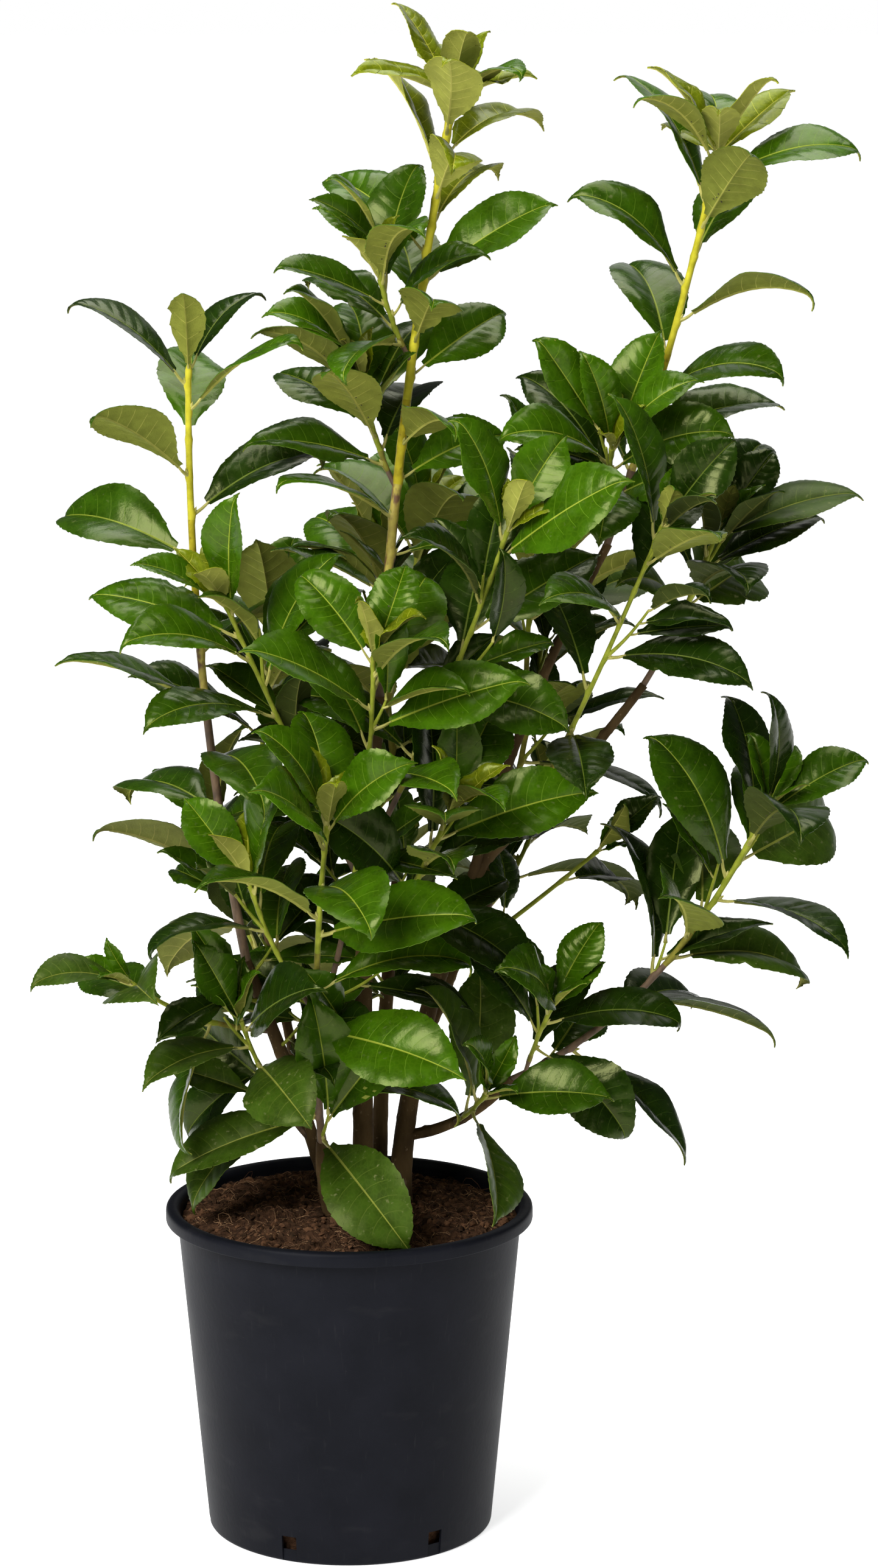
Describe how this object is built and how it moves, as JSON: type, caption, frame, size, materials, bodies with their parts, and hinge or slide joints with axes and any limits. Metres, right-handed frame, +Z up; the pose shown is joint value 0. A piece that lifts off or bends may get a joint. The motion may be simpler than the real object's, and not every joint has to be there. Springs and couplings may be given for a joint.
{
  "type": "potted cherry laurel",
  "caption": "Bushy evergreen cherry laurel with upright leafy leaders and glossy oval leaves, standing in a round black nursery pot filled with dark fibrous compost.",
  "frame": {"origin": "centre of the pot's flat underside", "axes": "+Z up along the plant, +X to the viewer's right in the picture, +Y away from the viewer"},
  "size_m": [0.6396, 0.5019, 1.1697],
  "materials": {
    "pot": "dark charcoal blow-moulded plastic, satin, with faint scuffs",
    "compost": "loose, dark reddish-brown, fibrous and dull",
    "bark": "smooth brown-grey young bark with small pale lenticels",
    "foliage": "glossy leathery green upper sides, dull pale undersides, yellow-green ribs and twigs"
  },
  "bodies": {
    "root": {"pot": "pot", "compost": "compost", "trunk_middle": "bark", "stem_left": "bark", "stem_front": "bark", "stem_right": "bark", "stem_back": "bark", "bough_right": "bark", "bough_right_leader": "bark", "bough_low_right": "bark", "bough_left_fork": "bark", "bough_back_left": "bark", "bough_back_right": "bark", "mass_middle_leader": "foliage", "mass_left_leader": "foliage", "mass_left_middle": "foliage", "mass_left_low": "foliage", "mass_left_foot": "foliage", "mass_front": "foliage", "mass_front_centre": "foliage", "mass_centre_right": "foliage", "mass_front_low": "foliage", "mass_right_inner": "foliage", "mass_right_leader": "foliage", "mass_right_bough": "foliage", "mass_low_right": "foliage", "mass_right_foot": "foliage", "mass_right_middle": "foliage", "mass_back_top": "foliage", "mass_back_left": "foliage", "mass_back_left_low": "foliage", "mass_back": "foliage", "mass_back_low": "foliage", "mass_back_right": "foliage", "mass_back_right_low": "foliage", "mass_right_back": "foliage"}
  },
  "joints": []
}
